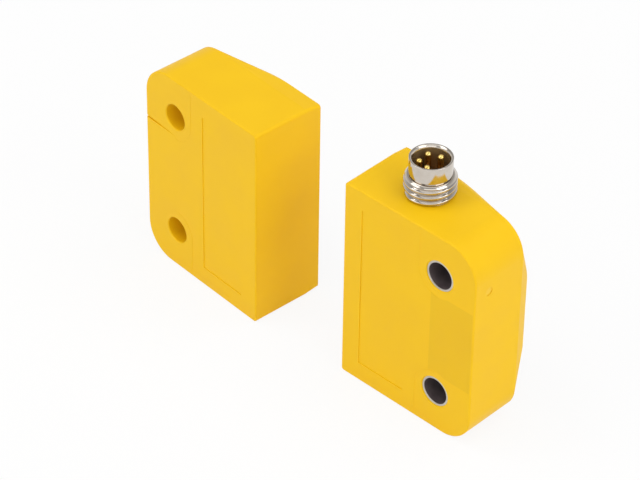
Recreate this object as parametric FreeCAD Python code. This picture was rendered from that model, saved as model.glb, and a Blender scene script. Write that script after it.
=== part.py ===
import FreeCAD, Part
import math
import os

# Magnetic safety switch: a sensor with a plug connector, and the coded actuator that works it.
# Each half is drawn in a frame of its own: active face at x = 0 and rounded end at x = width,
# front at y = 0 and mounting back at y = depth, foot at z = 0. Millimetres and degrees.

Vector = FreeCAD.Vector

# Moulded housing, one form for both halves
width = 26.0                 # active face to rounded end
height = 36.0
depth = 13.0
end_radius = 5.3             # corners of the rounded end, seen from the front
active_radius = 0.5          # edges of the active face, along the depth
front_round = 0.24           # rim of the front face
straight_depth = 10.3        # depth of the straight walls; behind it the end tapers in
back_end_inset = 1.2         # taper at the rounded end
back_face_inset = 0.3        # taper at the top and the foot
back_corner_run = 17.7       # back corner, along the top or the foot
back_corner_drop = 11.4      # back corner, along the rounded end
wall = 1.6                   # active face
front_wall = 1.6
roof = 2.4                   # top and foot walls
cavity_round = 0.4
fill_recess = 0.3            # resin surface below the rim of the back

# Screw holes and the fine lines round their pads
hole_inset = 7.0             # from the rounded end, and from the top or foot
hole_pitch = 22.0
screw_bore = 4.4             # clears an M4 screw
bush_wall = 0.35
hole_mouth = 0.15            # chamfer on the plastic round each hole
hole_web = 4.0               # hole axis to the side of the cavity
pad_radius = 3.9             # screw pad round each hole
pad_groove_width = 0.3
pad_groove_depth = 0.02
seam_rise = 3.35             # seam on the actuator, from the hole's axis towards the middle
seam_width = 0.4
seam_depth = 0.3             # at the rounded end; it runs out at the hole's axis

# Recessed label field
label_inset = 3.5            # from the active face
label_width = 9.0
label_height = 29.2
label_depth = 0.1

# Mark of the moulding gate, on the rounded end
gate_radius = 0.7
gate_depth = 0.12
gate_back = 3.0              # from the front
gate_height = 28.5

# Plug connector, heights measured from the housing's top face
thread_radius = 4.0
thread_length = 3.55
thread_chamfer = 0.3
neck_radius = 3.1
neck_length = 0.25
collar_radius = 3.3
collar_length = 2.5
collar_round = 0.15
socket_radius = 2.75
socket_depth = 4.9
mouth_width = 0.25           # bevel inside the collar's rim
mouth_depth = 0.4
socket_step = 0.9            # where the sleeve's bore narrows to the tail
tail_radius = 2.6
seat_radius = 3.6
flange_radius = 4.3
flange_thickness = 1.6
seal_section = 0.6           # seal ring's diameter of section
seal_room = 0.1              # groove's extra length
seal_drop = 1.2              # seal's middle below the top face
carrier_tail = 1.6           # contact carrier below the flange
pin_radius = 0.5
pin_circle = 1.76
pin_angles = (72.0, 142.0)   # each to both sides of the connector's key direction
key_turn = 5.0               # key direction, from the way to the rounded end
pin_tip_drop = 0.4           # pin tips below the collar's rim
pin_tail = 2.4

# Circuit board and what it carries
solder_gap = 0.1
board_gap = 0.4
board_inset = 1.0            # from the active wall and from the side of the cavity
reed_radius = 1.0
reed_length = 8.4
reed_wall_gap = 0.4
reed_board_gap = 0.3
lead_radius = 0.25
lead_run = 1.0
lead_bend = 0.5
reed_spacing = 12.6
resistor_width = 1.6
resistor_thickness = 0.6
resistor_length = 3.2
resistor_spacing = 8.0

# Coding magnets of the actuator
magnet_thickness = 4.5
magnet_width = 6.0
magnet_length = 8.0
magnet_carrier_wall = 1.2

# How the two halves stand
sensor_right = 8.509         # sensor's front active edge, from the middle of the set
sensor_front = 6.065
switching_gap = 17.1
actuator_forward = 1.4
actuator_turn = -4.56

# Worked-out places
sensor_place = Vector(sensor_right, -sensor_front, 0)
resistor_size = Vector(resistor_width, resistor_thickness, resistor_length)
magnet_size = Vector(magnet_thickness, magnet_width, magnet_length)
bush_radius = screw_bore / 2 + bush_wall
hole_x = width - hole_inset
hole_heights = (height / 2 - hole_pitch / 2, height / 2 + hole_pitch / 2)
cavity_end = hole_x - hole_web
resin_face = depth - fill_recess
collar_top = thread_length + neck_length + collar_length
connector_x = cavity_end - cavity_round - flange_radius
connector_y = (front_wall + resin_face) / 2
flange_foot = -roof - flange_thickness
carrier_foot = flange_foot - carrier_tail
pin_row = pin_circle * math.sin(math.radians(180 - max(pin_angles) - key_turn))
board_thickness = 2 * (pin_row - pin_radius - solder_gap)
board_front = connector_y - board_thickness / 2
board_foot = roof + board_gap
board_top = height + carrier_foot - board_gap
board_middle = (board_foot + board_top) / 2
reed_heights = (board_middle - reed_spacing / 2, board_middle + reed_spacing / 2)
reed_x = wall + reed_wall_gap + reed_radius
reed_y = board_front - reed_board_gap - reed_radius
beyond = 1.0                 # how far a cut runs past the surface it opens


def round_quarter(centre, start, stop):
    """Quarter of a circle round centre, from start to stop."""
    middle = centre + (start + stop - centre * 2) * math.sqrt(0.5)
    return Part.Arc(start, middle, stop).toShape()


def oval_quarter(centre, start, stop):
    """Quarter of an ellipse from start to stop, which lie on its axes through centre."""
    curve = Part.BezierCurve()
    curve.setPoles([start, start + stop - centre, stop])
    curve.setWeight(2, math.sqrt(0.5))
    return curve.toShape()


def outline(quarter, y, end_x, face_inset, run, drop):
    """Housing's outline at depth y, with corners run x drop at the rounded end."""
    top, foot, edge = height - face_inset, face_inset, active_radius

    def at(x, z):
        return Vector(x, y, z)

    return Part.Wire([
        Part.makeLine(at(edge, top), at(end_x - run, top)),
        quarter(at(end_x - run, top - drop), at(end_x - run, top), at(end_x, top - drop)),
        Part.makeLine(at(end_x, top - drop), at(end_x, foot + drop)),
        quarter(at(end_x - run, foot + drop), at(end_x, foot + drop), at(end_x - run, foot)),
        Part.makeLine(at(end_x - run, foot), at(edge, foot)),
        quarter(at(edge, foot + edge), at(edge, foot), at(0, foot + edge)),
        Part.makeLine(at(0, foot + edge), at(0, top - edge)),
        quarter(at(edge, top - edge), at(0, top - edge), at(edge, top)),
    ])


def housing_form():
    """Outer form: straight walls with a rounded front rim, and the taper towards the back."""
    front = Part.Face(outline(round_quarter, 0, width, 0, end_radius, end_radius))
    block = front.extrude(Vector(0, straight_depth, 0))
    rim = [edge for edge in block.Edges if edge.BoundBox.YMax < front_round / 2]
    block = block.makeFillet(front_round, rim)
    taper = Part.makeLoft([
        outline(oval_quarter, straight_depth, width, 0, end_radius, end_radius),
        outline(oval_quarter, depth, width - back_end_inset, back_face_inset,
                back_corner_run, back_corner_drop),
    ], True, True)
    return block.fuse(taper).removeSplitter()


def block_between(low, high):
    size = high - low
    return Part.makeBox(size.x, size.y, size.z, low)


def cavity(y_end):
    """Space for the works, open at the back, with a bay between the two screw bosses."""
    main = block_between(Vector(wall, front_wall, roof), Vector(cavity_end, y_end, height - roof))
    corners = [edge for edge in main.Edges if edge.BoundBox.YLength > edge.BoundBox.XLength
               and edge.BoundBox.YLength > edge.BoundBox.ZLength]
    main = main.makeFillet(cavity_round, corners)
    low_bay = Vector(cavity_end - cavity_round, front_wall, hole_heights[0] + hole_web)
    bay = block_between(low_bay, Vector(hole_x + hole_web, y_end, hole_heights[1] - hole_web))
    return main.fuse(bay).removeSplitter()


def on_hole_axis(radius, z):
    """Cylinder on the axis of the screw hole at height z, past the front and the back."""
    return Part.makeCylinder(radius, depth + 2 * beyond, Vector(hole_x, -beyond, z), Vector(0, 1, 0))


def corner_seam():
    """Narrow groove beside the lower screw pad, from nothing to its full depth at the rounded end."""
    far = hole_inset + beyond
    floor = seam_depth * far / hole_inset
    foot = hole_heights[0] + seam_rise - seam_width / 2
    section = Part.makePolygon([Vector(hole_x, 0, foot), Vector(hole_x + far, floor, foot),
                                Vector(hole_x + far, -beyond, foot), Vector(hole_x, -beyond, foot),
                                Vector(hole_x, 0, foot)])
    return Part.Face(section).extrude(Vector(0, 0, seam_width))


def pad_groove():
    """Fine groove round the lower screw pad, up from the foot and over towards the end."""
    outer, inner = pad_radius + pad_groove_width / 2, pad_radius - pad_groove_width / 2
    low = hole_heights[0]
    ring = on_hole_axis(outer, low).cut(on_hole_axis(inner, low))
    left = hole_x - outer
    quarter = block_between(Vector(left, -beyond, low), Vector(hole_x, pad_groove_depth, low + outer))
    upright = block_between(Vector(left, -beyond, -beyond), Vector(hole_x - inner, pad_groove_depth, low))
    return ring.common(quarter).fuse(upright)


def hole(radius, z):
    """Through hole along the depth with a chamfered mouth at the front."""
    mouth = Part.makeCone(radius + hole_mouth, radius, hole_mouth, Vector(hole_x, 0, z), Vector(0, 1, 0))
    return on_hole_axis(radius, z).fuse(mouth)


def housing(hole_radius):
    groove = pad_groove()
    low_label = Vector(label_inset, -beyond, (height - label_height) / 2)
    label = block_between(low_label, low_label + Vector(label_width, beyond + label_depth, label_height))
    gate = Part.makeCylinder(gate_radius, gate_depth + beyond,
                             Vector(width - gate_depth, gate_back, gate_height), Vector(1, 0, 0))
    upper_groove = groove.mirror(Vector(0, 0, height / 2), Vector(0, 0, 1))
    cuts = [cavity(depth + beyond), label, groove, upper_groove, gate]
    cuts += [hole(hole_radius, z) for z in hole_heights]
    return housing_form().cut(cuts)


def bush(z):
    base, along = Vector(hole_x, 0, z), Vector(0, 1, 0)
    sleeve = Part.makeCylinder(bush_radius, depth, base, along)
    return sleeve.cut(Part.makeCylinder(screw_bore / 2, depth, base, along))


def turned(profile):
    """Solid turned about the connector's axis from (radius, height above the top face) points."""
    points = [Vector(connector_x + r, connector_y, height + z) for r, z in profile]
    face = Part.Face(Part.makePolygon(points + points[:1]))
    return face.revolve(Vector(connector_x, connector_y, 0), Vector(0, 0, 1), 360)


def connector_shell():
    """Nickel-plated sleeve: inner flange, sealed seat, thread, neck and snap collar."""
    seal_top = -seal_drop + (seal_section + seal_room) / 2
    seal_foot = -seal_drop - (seal_section + seal_room) / 2
    groove_radius = seat_radius - seal_section
    neck_top = thread_length + neck_length
    shell = turned([
        (tail_radius, flange_foot), (flange_radius, flange_foot),
        (flange_radius, -roof), (seat_radius, -roof),
        (seat_radius, seal_foot), (groove_radius, seal_foot),
        (groove_radius, seal_top), (seat_radius, seal_top),
        (seat_radius, 0), (thread_radius - thread_chamfer, 0),
        (thread_radius, thread_chamfer), (thread_radius, thread_length - thread_chamfer),
        (thread_radius - thread_chamfer, thread_length), (neck_radius, thread_length),
        (neck_radius, neck_top), (collar_radius, neck_top),
        (collar_radius, collar_top), (socket_radius + mouth_width, collar_top),
        (socket_radius, collar_top - mouth_depth), (socket_radius, socket_step),
        (tail_radius, socket_step),
    ])
    rim = [edge for edge in shell.Edges if edge.BoundBox.ZMin > height + collar_top - collar_round / 2
           and edge.BoundBox.XLength > socket_radius + mouth_width + collar_radius]
    return shell.makeFillet(collar_round, rim)


def pin_places():
    """Contact pins' offsets from the connector's axis."""
    turns = [key_turn + side * angle for angle in pin_angles for side in (1, -1)]
    return [Vector(pin_circle * math.cos(math.radians(turn)), pin_circle * math.sin(math.radians(turn)), 0)
            for turn in turns]


def contact_pin(offset):
    """Round-tipped pin from its solder tail to just under the collar's rim."""
    foot = Vector(connector_x, connector_y, height + carrier_foot - pin_tail) + offset
    shank = collar_top - pin_tip_drop - pin_radius - carrier_foot + pin_tail
    tip = foot + Vector(0, 0, shank)
    side = Vector(pin_radius, 0, 0)
    cap = round_quarter(tip, tip + side, tip + Vector(0, 0, pin_radius))
    section = Part.Wire([Part.makeLine(foot, foot + side), Part.makeLine(foot + side, tip + side), cap,
                         Part.makeLine(tip + Vector(0, 0, pin_radius), foot)])
    return Part.Face(section).revolve(foot, Vector(0, 0, 1), 360)


def contact_carrier(pins):
    """Insulator that holds the pins and closes the bottom of the socket."""
    floor = collar_top - socket_depth
    plug = turned([
        (0, carrier_foot), (tail_radius, carrier_foot), (tail_radius, socket_step),
        (socket_radius, socket_step), (socket_radius, floor), (0, floor),
    ])
    return plug.cut(Part.makeCompound(pins))


def seal_ring():
    base = Vector(connector_x, connector_y, height - seal_drop)
    return Part.makeTorus(seat_radius - seal_section / 2, seal_section / 2, base)


def circuit_board():
    low = Vector(wall + board_inset, board_front, board_foot)
    return block_between(low, Vector(cavity_end - board_inset, board_front + board_thickness, board_top))


def reed_tube(z):
    """Glass tube with round ends, its axis upright behind the active face."""
    half = reed_length / 2
    middle = Vector(reed_x, reed_y, z)
    end = Vector(0, 0, half - reed_radius)
    pole = Vector(0, 0, half)
    side = Vector(reed_radius, 0, 0)
    section = Part.Wire([
        round_quarter(middle - end, middle - pole, middle - end + side),
        Part.makeLine(middle - end + side, middle + end + side),
        round_quarter(middle + end, middle + end + side, middle + pole),
        Part.makeLine(middle + pole, middle - pole),
    ])
    return Part.Face(section).revolve(middle, Vector(0, 0, 1), 360)


def reed_leads(z, tube):
    """Two wires that leave the ends of a tube and bend back to the board's face."""
    leads = []
    for way in (1, -1):
        start = Vector(reed_x, reed_y, z + way * (reed_length / 2 - reed_radius))
        bend_start = Vector(reed_x, reed_y, z + way * (reed_length / 2 + lead_run))
        centre = bend_start + Vector(0, lead_bend, 0)
        bend_stop = centre + Vector(0, 0, way * lead_bend)
        finish = Vector(reed_x, board_front, bend_stop.z)
        path = Part.Wire([Part.makeLine(start, bend_start), round_quarter(centre, bend_start, bend_stop),
                          Part.makeLine(bend_stop, finish)])
        section = Part.Wire([Part.makeCircle(lead_radius, start, Vector(0, 0, way))])
        leads.append(path.makePipeShell([section], True, False).cut(tube))
    return Part.makeCompound([solid for lead in leads for solid in lead.Solids])


def series_resistors():
    """Two chip resistors seated on the back of the board."""
    face = board_front + board_thickness
    chips = []
    for side in (-0.5, 0.5):
        low = Vector(connector_x, face, board_middle + side * resistor_spacing)
        low = low - Vector(resistor_size.x, 0, resistor_size.z) * 0.5
        chips.append(block_between(low, low + resistor_size))
    return Part.makeCompound(chips)


def magnet(z):
    low = Vector(wall, connector_y - magnet_size.y / 2, z - magnet_size.z / 2)
    return block_between(low, low + magnet_size)


def magnet_carrier(magnets):
    """Plastic holder against the active wall, with a pocket for each magnet."""
    half = magnet_size.y / 2 + magnet_carrier_wall
    low = Vector(wall, connector_y - half, roof + cavity_round)
    high = Vector(wall + magnet_size.x + magnet_carrier_wall, connector_y + half, height - low.z)
    return block_between(low, high).cut(Part.makeCompound(magnets))


def resin(pieces):
    """Casting resin that fills the cavity round the given pieces."""
    return cavity(resin_face).cut(Part.makeCompound(pieces))


def sensor_pieces():
    pins = [contact_pin(offset) for offset in pin_places()]
    tubes = [reed_tube(z) for z in reed_heights]
    leads = [reed_leads(z, tube) for z, tube in zip(reed_heights, tubes)]
    shell, carrier = connector_shell(), contact_carrier(pins)
    board, chips = circuit_board(), series_resistors()
    seat = Part.makeCylinder(seat_radius, roof + 2 * beyond,
                             Vector(connector_x, connector_y, height - roof - beyond))
    pieces = {
        "sensor_housing": housing(bush_radius).cut(seat),
        "lower_mounting_bush": bush(hole_heights[0]),
        "upper_mounting_bush": bush(hole_heights[1]),
        "connector_shell": shell,
        "connector_seal_ring": seal_ring(),
        "contact_carrier": carrier,
        "circuit_board": board,
        "lower_reed_tube": tubes[0],
        "upper_reed_tube": tubes[1],
        "lower_reed_leads": leads[0],
        "upper_reed_leads": leads[1],
        "series_resistors": chips,
        "sensor_resin_fill": resin([shell, carrier, board, chips] + pins + tubes + leads),
    }
    for number, pin in enumerate(pins, 1):
        pieces["contact_pin_%d" % number] = pin
    return pieces


def actuator_pieces():
    magnets = [magnet(height - z) for z in reversed(reed_heights)]
    carrier = magnet_carrier(magnets)
    return {
        "actuator_housing": housing(screw_bore / 2).cut(corner_seam()),
        "upper_coding_magnet": magnets[0],
        "lower_coding_magnet": magnets[1],
        "magnet_carrier": carrier,
        "actuator_resin_fill": resin(magnets + [carrier]),
    }


def main():
    os.makedirs("parts", exist_ok=True)
    for name, piece in sensor_pieces().items():
        piece.translate(sensor_place)
        piece.exportStep("parts/%s.step" % name)
    for name, piece in actuator_pieces().items():
        # Turned over, so that its active face looks at the sensor, then set down beside it
        piece.rotate(Vector(0, 0, height / 2), Vector(0, 1, 0), 180)
        piece.rotate(Vector(0, 0, 0), Vector(0, 0, 1), actuator_turn)
        piece.translate(sensor_place - Vector(switching_gap, actuator_forward, 0))
        piece.exportStep("parts/%s.step" % name)


main()
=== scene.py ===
"""Magnetic safety switch: the sensor with its plug, and the coded actuator beside it."""

import math

import bmesh
import bpy
from mathutils import Matrix, Vector


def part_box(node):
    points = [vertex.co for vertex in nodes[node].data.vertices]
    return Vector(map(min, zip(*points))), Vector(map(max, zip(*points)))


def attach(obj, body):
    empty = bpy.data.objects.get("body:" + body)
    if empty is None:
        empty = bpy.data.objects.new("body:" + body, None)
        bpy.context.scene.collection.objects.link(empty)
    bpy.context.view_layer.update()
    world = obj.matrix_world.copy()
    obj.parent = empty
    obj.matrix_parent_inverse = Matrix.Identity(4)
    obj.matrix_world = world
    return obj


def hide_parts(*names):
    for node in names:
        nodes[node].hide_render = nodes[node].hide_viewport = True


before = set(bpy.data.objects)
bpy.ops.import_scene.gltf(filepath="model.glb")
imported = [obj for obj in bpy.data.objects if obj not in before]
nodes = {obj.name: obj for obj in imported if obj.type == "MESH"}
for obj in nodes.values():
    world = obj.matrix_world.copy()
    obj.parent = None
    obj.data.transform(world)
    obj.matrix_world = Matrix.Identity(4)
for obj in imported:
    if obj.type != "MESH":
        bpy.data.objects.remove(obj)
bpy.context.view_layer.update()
scene = bpy.context.scene
MM = 0.001
up = Vector((0, 0, 1))

# Places that the turned pieces share with the solids, in metres
housing_low, housing_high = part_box("sensor_housing")
shell_low, shell_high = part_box("connector_shell")
plug_axis = Vector(((shell_low.x + shell_high.x) / 2, (shell_low.y + shell_high.y) / 2, housing_high.z))

# Plug sizes in millimetres, heights measured from the housing's top face
flange_radius, flange_foot, flange_top = 4.3, -4.0, -2.4
seat_radius = 3.6
seal_groove_radius, seal_groove_foot, seal_groove_top = 3.0, -1.55, -0.85
thread_radius, thread_root = 4.0, 3.42
lead_radius, lead_foot, lead_start = 3.85, 2.93, 3.05       # bevel at the thread's upper end
lead_rim, lead_rounding = 3.5, 0.06
neck_radius, neck_foot, neck_top = 3.1, 3.4, 3.6
collar_radius, collar_chamfer = 3.3, 0.08
rim_height, rim_rounding = 6.3, 0.05
mouth_radius, mouth_foot, mouth_rounding = 3.0, 5.9, 0.16   # bevel inside the rim
socket_radius, socket_step, tail_radius = 2.75, 0.9, 2.6
socket_shade_reach = 0.05    # how far out the socket's painted shade and reflection go into the mouth's rounding
plug_facets = 96

# Ridge of the plug's thread, in millimetres, heights measured from the housing's top face
thread_pitch = 1.0
thread_first, thread_last = 0.13, 3.05     # middle of the ridge where it starts and where it ends
thread_start = math.radians(180)           # where it starts, from +X towards +Y
thread_crest, thread_foot = 0.31, 0.91     # width of the ridge
crest_drop, crest_spread, crest_inset = 0.05, 0.02, 0.06    # rounded shoulders of the crest
ridge_sink = 0.05                          # how deep the ridge's foot is sunk into the root
thread_run_out = 0.22                      # share of a turn over which the ridge's ends fade
thread_facets = 72                         # facets to a turn

# Screw bushes, in millimetres
bush_bore, bush_radius = 2.2, 2.55
bush_sink = 0.15                           # how far the bushes' rims lie below the face
bush_mouth_rounding, bush_rim_rounding = 0.1, 0.05
shaded_bore_start, shaded_bore_reach = 0.2, 0.1    # painted shade in the bore, from the bush's ends, and beyond the bore's radius
bush_facets = 72

# Darker field of the sensor's front, in millimetres from the housing's foot and from its rounded end
field_foot, field_top = 10.5, 25.5
field_start, field_stop = 8.5, 0.3
field_depth = 0.3            # how far behind the front it reaches
field_edge = 0.15            # width over which it fades
screw_pad_radius = 3.9

# Mark of the moulding gate on the sensor's rounded end, in millimetres from the front and from the foot; its
# paleness is partly a painted highlight
gate_back, gate_height = 3.0, 28.5
gate_reach, gate_paleness_and_highlight = 0.9, 0.06

# Sockets of a Mix node that mixes colours
MIX_SHARE, MIX_FIRST, MIX_SECOND, MIX_RESULT = 0, 6, 7, 2


def colour(hex_value):
    """Linear colour of an sRGB hex value."""
    parts = [int(hex_value[i:i + 2], 16) / 255 for i in (0, 2, 4)]
    return [c / 12.92 if c <= 0.04045 else ((c + 0.055) / 1.055) ** 2.4 for c in parts] + [1.0]


def add_node(tree, kind, inputs=None, **settings):
    """Adds a shader node; inputs take a value or the socket that is linked in."""
    node = tree.nodes.new("ShaderNode" + kind)
    for name, value in settings.items():
        setattr(node, name, value)
    for name, value in (inputs or {}).items():
        if isinstance(value, bpy.types.NodeSocket):
            tree.links.new(value, node.inputs[name])
        else:
            node.inputs[name].default_value = value
    return node


def new_material(name):
    """Empty node material; returns it with its tree, its Object coordinates and its output."""
    material = bpy.data.materials.new(name)
    material.use_nodes = True
    tree = material.node_tree
    tree.nodes.clear()
    output = add_node(tree, "OutputMaterial")
    return material, tree, add_node(tree, "TexCoord").outputs["Object"], output.inputs["Surface"]


def surface(name, dark, light, cloud, grain, grain_depth, smooth, rough, metallic=0.0, sheen=0.5):
    """Solid material with clouds in its colour and gloss and a grain in its skin, sizes in millimetres.

    A grain that is too fine to show is drawn as coarse as it needs to be.
    """
    material, tree, place, out = new_material(name)
    clouds = add_node(tree, "TexNoise", {"Vector": place, "Scale": 1 / (cloud * MM), "Detail": 3.0})
    drift = add_node(tree, "MapRange", {"Value": clouds.outputs["Fac"], "From Min": 0.35, "From Max": 0.65})
    tint = add_node(tree, "Mix", {
        MIX_SHARE: drift.outputs["Result"], MIX_FIRST: colour(dark), MIX_SECOND: colour(light)},
        data_type="RGBA")
    gloss = add_node(tree, "MapRange", {"Value": drift.outputs["Result"], "To Min": smooth, "To Max": rough})
    grains = add_node(tree, "TexNoise", {"Vector": place, "Scale": 1 / (grain * MM), "Detail": 2.0})
    skin = add_node(tree, "Bump", {
        "Height": grains.outputs["Fac"], "Distance": grain_depth * MM, "Strength": 1.0})
    shader = add_node(tree, "BsdfPrincipled", {
        "Base Color": tint.outputs[MIX_RESULT], "Roughness": gloss.outputs["Result"],
        "Normal": skin.outputs["Normal"], "Metallic": metallic, "Specular IOR Level": sheen})
    tree.links.new(shader.outputs["BSDF"], out)
    return material


def add_darker_field(material, low, high, pads, dull):
    """Darkens the colour between two heights and two sides of the front, but for the round screw pads.

    low and high are corners in the frame and pads the places of the screw holes, all in metres.
    """
    tree = material.node_tree
    base = tree.nodes["Principled BSDF"].inputs["Base Color"]
    place = tree.nodes["Texture Coordinate"].outputs["Object"]
    axes = add_node(tree, "SeparateXYZ", {0: place})
    rise = field_edge * MM
    limits = [
        (axes.outputs["X"], low.x, rise), (axes.outputs["X"], high.x, -rise),
        (axes.outputs["Y"], high.y, -rise),
        (axes.outputs["Z"], low.z, rise), (axes.outputs["Z"], high.z, -rise)]
    flat = add_node(tree, "VectorMath", {0: place, 1: (1, 0, 1)}, operation="MULTIPLY")
    for pad in pads:
        reach = add_node(tree, "VectorMath", {0: flat.outputs[0], 1: (pad.x, 0, pad.z)}, operation="DISTANCE")
        limits.append((reach.outputs["Value"], screw_pad_radius * MM, rise))
    field = 1.0
    for value, limit, width in limits:
        inside = add_node(tree, "MapRange", {
            "Value": value, "From Min": limit - width / 2, "From Max": limit + width / 2})
        both = add_node(tree, "Math", {0: inside.outputs["Result"], 1: field}, operation="MULTIPLY")
        field = both.outputs[0]
    dulled = add_node(tree, "Mix", {
        MIX_SHARE: field, MIX_FIRST: base.links[0].from_socket, MIX_SECOND: colour(dull)},
        data_type="RGBA", blend_type="MULTIPLY")
    tree.links.new(dulled.outputs[MIX_RESULT], base)


def add_gate_mark_and_highlight(material, centre, pale):
    """Pales the colour in a round mark about a place in the frame, in metres: a paler gate mark with a
    painted highlight, which also lightens the shaded wall of its dimple.
    """
    tree = material.node_tree
    base = tree.nodes["Principled BSDF"].inputs["Base Color"]
    place = tree.nodes["Texture Coordinate"].outputs["Object"]
    distance = add_node(tree, "VectorMath", {0: place, 1: centre}, operation="DISTANCE")
    fade = add_node(tree, "MapRange", {
        "Value": distance.outputs["Value"], "From Min": gate_reach * MM, "From Max": gate_reach * MM / 2,
        "To Max": gate_paleness_and_highlight})
    paled = add_node(tree, "Mix", {
        MIX_SHARE: fade.outputs["Result"], MIX_FIRST: base.links[0].from_socket, MIX_SECOND: colour(pale)},
        data_type="RGBA")
    tree.links.new(paled.outputs[MIX_RESULT], base)


# Polyester moulding: warm yellow with a soft satin sheen and hardly visible clouds from the flow
yellow_skin = dict(dark="EFBE0A", light="F1C10C", cloud=7.0, grain=0.35, grain_depth=0.005,
                   smooth=0.42, rough=0.50, sheen=0.2)
yellow_polyester = surface("moulded_yellow_polyester", **yellow_skin)
# The same moulding, its colour darker in a field between the sensor's screw pads
sensor_yellow = surface("yellow_polyester_with_darker_field", **yellow_skin)
# Bright nickel plating on turned brass: mirror-like and slightly warm, faintly uneven from the turning
bright_nickel = surface("bright_nickel_on_brass", "C6BDB2", "D0C8BE", cloud=2.0, grain=0.5, grain_depth=0.002,
                        smooth=0.08, rough=0.13, metallic=1.0)
# Nickel inside the socket painted dim and brown: painted shade of the deep socket and a painted reflection of
# the gold pins and yellow housing
shaded_socket_nickel = surface("socket_nickel_with_painted_shade", "9C8258", "AE9468", cloud=2.0, grain=0.5,
                      grain_depth=0.002, smooth=0.16, rough=0.22, metallic=0.6)
# Hard gold plating: deep warm yellow metal, softly polished
hard_gold = surface("hard_gold_plating", "E6C264", "F2D88C", cloud=0.8, grain=0.3, grain_depth=0.002,
                    smooth=0.16, rough=0.24, metallic=1.0)
# Moulded polyamide: brown and slightly glossy
brown_polyamide = surface("moulded_brown_polyamide", "9A6C40", "AC7E52", cloud=3.0, grain=0.3,
                          grain_depth=0.004, smooth=0.28, rough=0.36)
# Turned steel of the bushes' rims: pale grey, finely rough from the tool
turned_steel = surface("turned_steel", "B9B3AB", "CFCAC2", cloud=1.2, grain=0.25, grain_depth=0.004,
                       smooth=0.30, rough=0.40, metallic=1.0)
# Steel of the bores, painted dark as the shade deep in the bore
shaded_bore_steel = surface("steel_bore_with_painted_shade", "54494A", "625657", cloud=1.5, grain=0.3, grain_depth=0.004,
                         smooth=0.45, rough=0.60, metallic=0.3)
# Cast epoxy that closes the backs: black, with a wet gloss and faint ripples
black_epoxy = surface("cast_black_epoxy", "0C0C0D", "131314", cloud=6.0, grain=2.5, grain_depth=0.03,
                      smooth=0.22, rough=0.34)
# Nitrile rubber of the seal: dull black
nitrile_rubber = surface("nitrile_rubber", "101010", "181818", cloud=2.0, grain=0.3, grain_depth=0.006,
                         smooth=0.60, rough=0.75)
# Glass-fibre laminate under green solder resist: smooth and dark, faintly uneven over the weave
green_laminate = surface("green_glass_laminate", "0F4A25", "17602F", cloud=1.5, grain=0.5, grain_depth=0.01,
                         smooth=0.30, rough=0.42)
# Tinned wire: soft grey metal
tinned_wire = surface("tinned_wire", "B4B2AE", "C9C7C2", cloud=0.8, grain=0.2, grain_depth=0.003,
                      smooth=0.28, rough=0.38, metallic=1.0)
# Ceramic chips with a black glaze: small, dark and a little glassy
chip_glaze = surface("black_chip_glaze", "121212", "1C1C1C", cloud=1.0, grain=0.2, grain_depth=0.003,
                     smooth=0.30, rough=0.40)
# Sintered magnets under nickel plating: mid grey with a soft shine
plated_magnet = surface("nickel_plated_magnet", "A9A7A3", "BDBBB6", cloud=2.0, grain=0.4, grain_depth=0.004,
                        smooth=0.24, rough=0.34, metallic=1.0)


def clear_glass():
    """Soft glass of the reed tubes: clear, faintly green, with fire-polished ends and slow waves."""
    wave_length, wave_depth = 3.0, 0.02
    material, tree, place, out = new_material("clear_reed_glass")
    waves = add_node(tree, "TexNoise", {"Vector": place, "Scale": 1 / (wave_length * MM)})
    skin = add_node(tree, "Bump", {"Height": waves.outputs["Fac"], "Distance": wave_depth * MM})
    glass = add_node(tree, "BsdfPrincipled", {
        "Base Color": colour("E4F2EA"), "Roughness": 0.03, "IOR": 1.5, "Transmission Weight": 1.0,
        "Normal": skin.outputs["Normal"]})
    tree.links.new(glass.outputs["BSDF"], out)
    return material


def dress(material, *names):
    """Gives the named solids one material."""
    for name in names:
        nodes[name].data.materials.clear()
        nodes[name].data.materials.append(material)


dress(yellow_polyester, "actuator_housing")
dress(sensor_yellow, "sensor_housing")
dress(bright_nickel, "connector_shell")
dress(turned_steel, "lower_mounting_bush", "upper_mounting_bush")
dress(hard_gold, "contact_pin_1", "contact_pin_2", "contact_pin_3", "contact_pin_4")
dress(brown_polyamide, "contact_carrier", "magnet_carrier")
dress(black_epoxy, "sensor_resin_fill", "actuator_resin_fill")
dress(nitrile_rubber, "connector_seal_ring")
dress(green_laminate, "circuit_board")
dress(clear_glass(), "lower_reed_tube", "upper_reed_tube")
dress(tinned_wire, "lower_reed_leads", "upper_reed_leads")
dress(chip_glaze, "series_resistors")
dress(plated_magnet, "upper_coding_magnet", "lower_coding_magnet")


def middle(name):
    """Middle of a solid's box."""
    low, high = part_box(name)
    return (low + high) / 2


add_darker_field(
    sensor_yellow,
    Vector((housing_high.x - field_start * MM, 0, housing_low.z + field_foot * MM)),
    Vector((housing_high.x - field_stop * MM, housing_low.y + field_depth * MM,
            housing_low.z + field_top * MM)),
    [middle("lower_mounting_bush"), middle("upper_mounting_bush")], "F7F7F7")
# Gate mark paled partly as a painted highlight and as painted light on its dimple's shaded wall
add_gate_mark_and_highlight(
    sensor_yellow,
    Vector((housing_high.x, housing_low.y + gate_back * MM, housing_low.z + gate_height * MM)), "F6FFC8")


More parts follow.
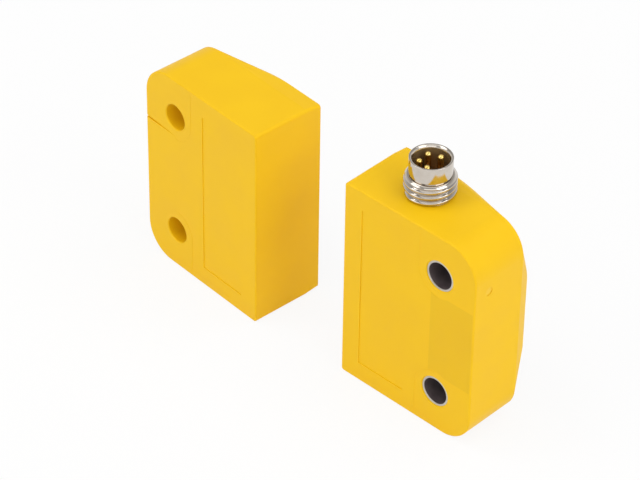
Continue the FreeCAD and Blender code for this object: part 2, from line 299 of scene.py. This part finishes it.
def turned_wall(bm, profile, centre, axis, facets):
    """Spins a closed profile of (radius, place along the axis) points, in millimetres, once round."""
    across = Vector((1, 0, 0))
    weld = 0.0005 * MM
    points = [bm.verts.new(centre + across * (r * MM) + axis * (along * MM)) for r, along in profile]
    edges = [bm.edges.new((a, b)) for a, b in zip(points, points[1:] + points[:1])]
    bmesh.ops.spin(bm, geom=points + edges, cent=centre, axis=axis, angle=2 * math.pi, steps=facets,
                   use_merge=True)
    bmesh.ops.remove_doubles(bm, verts=bm.verts, dist=weld)
    bmesh.ops.recalc_face_normals(bm, faces=bm.faces)


def round_place(point, centre, axis):
    """Radius of a point about an axis and its place along it, in millimetres."""
    offset = (point - centre) / MM
    along = offset.dot(axis)
    return (offset - axis * along).length, along


def soften(bm, centre, axis, rings, size, segments):
    """Bevels the round edges that lie at the given (radius, place along the axis), in millimetres."""
    same_place = 0.01
    chosen = []
    for edge in bm.edges:
        ends = [round_place(v.co, centre, axis) for v in edge.verts]
        if any(all(math.dist(end, ring) < same_place for end in ends) for ring in rings):
            chosen.append(edge)
    bmesh.ops.bevel(bm, geom=chosen, offset=size * MM, offset_type="OFFSET", affect="EDGES",
                    segments=segments, profile=0.5, material=-1)


def finish_piece(name, bm, materials, replaced):
    """Makes the object, smooth but for its sharp turns, hangs it on the root and hides the solid that it
    stands for.
    """
    sharp_turn = math.radians(35)
    mesh = bpy.data.meshes.new(name)
    bm.to_mesh(mesh)
    bm.free()
    for material in materials:
        mesh.materials.append(material)
    mesh.shade_smooth()
    mesh.set_sharp_from_angle(angle=sharp_turn)
    piece = bpy.data.objects.new(name, mesh)
    scene.collection.objects.link(piece)
    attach(piece, "root")
    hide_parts(replaced)


def plug_sleeve():
    """Turned sleeve of the plug: inner flange, sealed seat, thread, neck and collar."""
    bm = bmesh.new()
    turned_wall(bm, [
        (tail_radius, flange_foot), (flange_radius, flange_foot), (flange_radius, flange_top),
        (seat_radius, flange_top), (seat_radius, seal_groove_foot), (seal_groove_radius, seal_groove_foot),
        (seal_groove_radius, seal_groove_top), (seat_radius, seal_groove_top), (seat_radius, 0.0),
        (thread_root, 0.0), (thread_root, lead_foot), (lead_radius, lead_start), (lead_rim, neck_foot),
        (neck_radius, neck_foot), (neck_radius, neck_top), (collar_radius - collar_chamfer, neck_top),
        (collar_radius, neck_top + collar_chamfer), (collar_radius, rim_height), (mouth_radius, rim_height),
        (socket_radius, mouth_foot), (socket_radius, socket_step), (tail_radius, socket_step)],
        plug_axis, up, plug_facets)
    rim = [(collar_radius, rim_height)]
    mouth = [(mouth_radius, rim_height), (socket_radius, mouth_foot)]
    lead = [(lead_radius, lead_start), (lead_rim, neck_foot)]
    soften(bm, plug_axis, up, rim, rim_rounding, segments=3)
    soften(bm, plug_axis, up, mouth, mouth_rounding, segments=4)
    soften(bm, plug_axis, up, lead, lead_rounding, segments=2)
    # Faces deep in the socket take the nickel with painted shade and painted reflection
    for face in bm.faces:
        radius, height = round_place(face.calc_center_median(), plug_axis, up)
        inside = socket_step < height < mouth_foot and radius < socket_radius + socket_shade_reach
        face.material_index = 1 if inside else 0
    thread_ridge(bm)
    finish_piece("plug_sleeve", bm, [bright_nickel, shaded_socket_nickel], "connector_shell")


def thread_ridge(bm):
    """Right-hand ridge wound round the sleeve; both ends run out into the root."""
    start_height = bm.verts.layers.float.new("start_height")
    older = set(bm.verts)
    foot_radius = thread_root - ridge_sink
    shoulder_radius = thread_radius - crest_drop
    shoulder, flat = thread_crest / 2 + crest_spread, thread_crest / 2 - crest_inset
    section = [(foot_radius, -thread_foot / 2), (shoulder_radius, -shoulder), (thread_radius, -flat),
               (thread_radius, flat), (shoulder_radius, shoulder), (foot_radius, thread_foot / 2)]
    outwards = Vector((math.cos(thread_start), math.sin(thread_start), 0))
    points = []
    for radius, height in section:
        point = bm.verts.new(plug_axis + outwards * (radius * MM) + up * ((thread_first + height) * MM))
        point[start_height] = point.co.z
        points.append(point)
    first = bm.faces.new(points)
    steps = round((thread_last - thread_first) / thread_pitch * thread_facets)
    turns = steps / thread_facets
    bmesh.ops.spin(bm, geom=[first] + list(first.edges) + points, cent=plug_axis, axis=up,
                   dvec=up * (thread_pitch * MM / thread_facets), angle=2 * math.pi * turns, steps=steps)
    for v in [v for v in bm.verts if v not in older]:
        turn = (v.co.z - v[start_height]) / (thread_pitch * MM)
        fullness = max(0.0, min(1.0, turn / thread_run_out, (turns - turn) / thread_run_out))
        out = Vector((v.co.x - plug_axis.x, v.co.y - plug_axis.y, 0))
        radius = foot_radius * MM + (out.length - foot_radius * MM) * fullness
        v.co += out.normalized() * (radius - out.length)
        v.co.z = max(v.co.z, plug_axis.z)
    bmesh.ops.recalc_face_normals(bm, faces=[f for f in bm.faces if all(v not in older for v in f.verts)])
    bm.verts.layers.float.remove(start_height)


def screw_bush(name, replaced):
    """Steel sleeve of a screw hole, its mouths rounded and its bore painted dark as shade."""
    through = Vector((0, 1, 0))
    low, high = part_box(replaced)
    start = Vector(((low.x + high.x) / 2, low.y + bush_sink * MM, (low.z + high.z) / 2))
    length = (high.y - low.y) / MM - bush_sink
    bm = bmesh.new()
    turned_wall(bm, [(bush_bore, 0.0), (bush_radius, 0.0), (bush_radius, length), (bush_bore, length)],
                start, through, bush_facets)
    mouths = [(bush_bore, 0.0), (bush_bore, length)]
    rims = [(bush_radius, 0.0), (bush_radius, length)]
    soften(bm, start, through, mouths, bush_mouth_rounding, segments=2)
    soften(bm, start, through, rims, bush_rim_rounding, segments=2)
    # Faces deep in the bore take the steel with painted shade
    for face in bm.faces:
        radius, depth = round_place(face.calc_center_median(), start, through)
        inside = shaded_bore_start < depth < length - shaded_bore_start and radius < bush_bore + shaded_bore_reach
        face.material_index = 1 if inside else 0
    finish_piece(name, bm, [turned_steel, shaded_bore_steel], replaced)


plug_sleeve()
screw_bush("lower_screw_bush", "lower_mounting_bush")
screw_bush("upper_screw_bush", "upper_mounting_bush")

# Camera at the photograph's place
view_azimuth = math.radians(43.354)        # from the front towards the right
view_elevation = math.radians(38.352)
view_roll = math.radians(-0.881)
view_aim = Vector((-0.240, -1.965, 18.0)) * MM
view_distance = 499.76 * MM
film_width, lens_length = 36.0, 184.90     # millimetres

# Studio: white paper in a pale room
paper_reach = 3.0                          # metres from the middle to each side
paper_gap = 0.02                           # millimetres under the object
paper_fibre, paper_fibre_depth = 2.0, 0.02     # millimetres, drawn coarser than real fibres
paper_whiteness = 0.88                     # share of plain white where the paper is seen
horizon_light, overhead_light = 0.95, 0.3
overhead_from = 0.8                        # upward part of the view at which the room is darkest


def bearing(azimuth, elevation):
    """Direction towards a place round the object, from the front towards the right, and upwards."""
    return Vector((math.sin(azimuth) * math.cos(elevation), -math.cos(azimuth) * math.cos(elevation),
                   math.sin(elevation)))


def paper_floor():
    """White studio paper: seen as white, with a trace of the object's shadow left on it."""
    material, tree, place, out = new_material("white_studio_paper")
    fibre = add_node(tree, "TexNoise", {"Vector": place, "Scale": 1 / (paper_fibre * MM)})
    skin = add_node(tree, "Bump", {
        "Height": fibre.outputs["Fac"], "Distance": paper_fibre_depth * MM, "Strength": 0.3})
    paper = add_node(tree, "BsdfDiffuse", {"Color": colour("F0F0F0"), "Normal": skin.outputs["Normal"]})
    white = add_node(tree, "Emission", {"Color": colour("FFFFFF"), "Strength": 1.0})
    ray = add_node(tree, "LightPath")
    direct = add_node(tree, "Math", {
        0: ray.outputs["Is Camera Ray"], 1: ray.outputs["Is Glossy Ray"]}, operation="MAXIMUM")
    seen = add_node(tree, "Math", {
        0: direct.outputs[0], 1: ray.outputs["Is Transmission Ray"]}, operation="MAXIMUM")
    share = add_node(tree, "Math", {0: seen.outputs[0], 1: paper_whiteness}, operation="MULTIPLY")
    mix = add_node(tree, "MixShader", {0: share.outputs[0], 1: paper.outputs[0], 2: white.outputs[0]})
    tree.links.new(mix.outputs[0], out)
    bm = bmesh.new()
    bmesh.ops.create_grid(bm, x_segments=1, y_segments=1, size=paper_reach)
    bmesh.ops.translate(bm, verts=bm.verts, vec=(0, 0, -paper_gap * MM))
    mesh = bpy.data.meshes.new("paper_floor")
    bm.to_mesh(mesh)
    bm.free()
    mesh.materials.append(material)
    floor = bpy.data.objects.new("paper_floor", mesh)
    scene.collection.objects.link(floor)


def studio_world():
    """Pale room: nearly white at the horizon, greyer overhead."""
    world = bpy.data.worlds.new("pale_room")
    world.use_nodes = True
    tree = world.node_tree
    tree.nodes.clear()
    way = add_node(tree, "SeparateXYZ", {0: add_node(tree, "TexCoord").outputs["Generated"]})
    level = add_node(tree, "MapRange", {
        "Value": way.outputs["Z"], "From Min": 0.0, "From Max": overhead_from,
        "To Min": horizon_light, "To Max": overhead_light})
    sky = add_node(tree, "Background", {"Color": level.outputs["Result"], "Strength": 1.0})
    add_node(tree, "OutputWorld", {"Surface": sky.outputs[0]})
    scene.world = world


def soft_box(name, azimuth, elevation, distance, width, height, watts):
    """Area lamp that looks at the object, its bearing in degrees and its sizes in metres."""
    lamp = bpy.data.lights.new(name, "AREA")
    lamp.shape, lamp.size, lamp.size_y, lamp.energy = "RECTANGLE", width, height, watts
    box = bpy.data.objects.new(name, lamp)
    back = bearing(math.radians(azimuth), math.radians(elevation))
    box.location = view_aim + back * distance
    box.rotation_euler = back.to_track_quat("Z", "Y").to_euler()
    box.visible_camera = False
    scene.collection.objects.link(box)


def photo_camera():
    """Long lens from the right and above, turned a little about its own axis."""
    back = bearing(view_azimuth, view_elevation)
    level = back.cross(-up).normalized()
    upright = back.cross(level)
    right = level * math.cos(view_roll) - upright * math.sin(view_roll)
    lens = bpy.data.cameras.new("photo_camera")
    lens.sensor_fit, lens.sensor_width, lens.lens = "HORIZONTAL", film_width, lens_length
    camera = bpy.data.objects.new("photo_camera", lens)
    camera.matrix_world = Matrix((right, back.cross(right), back)).transposed().to_4x4()
    camera.location = view_aim + back * view_distance
    scene.collection.objects.link(camera)
    scene.camera = camera


paper_floor()
studio_world()
# Two small boxes high up on either side, low fills from the front, the sensor's end and the camera,
# and a broad box overhead
soft_box("left_box", azimuth=-61, elevation=62, distance=0.7, width=0.28, height=0.28, watts=0.8)
soft_box("right_box", azimuth=145, elevation=62, distance=0.7, width=0.28, height=0.28, watts=0.45)
soft_box("front_fill", azimuth=-28, elevation=34, distance=0.7, width=0.45, height=0.35, watts=0.8)
soft_box("end_fill", azimuth=95, elevation=34, distance=0.7, width=0.45, height=0.35, watts=1.25)
soft_box("camera_fill", azimuth=45, elevation=30, distance=0.9, width=0.8, height=0.5, watts=1.0)
soft_box("ceiling_box", azimuth=45, elevation=88, distance=0.8, width=0.9, height=0.9, watts=1.65)
photo_camera()
scene.view_settings.view_transform = "Standard"
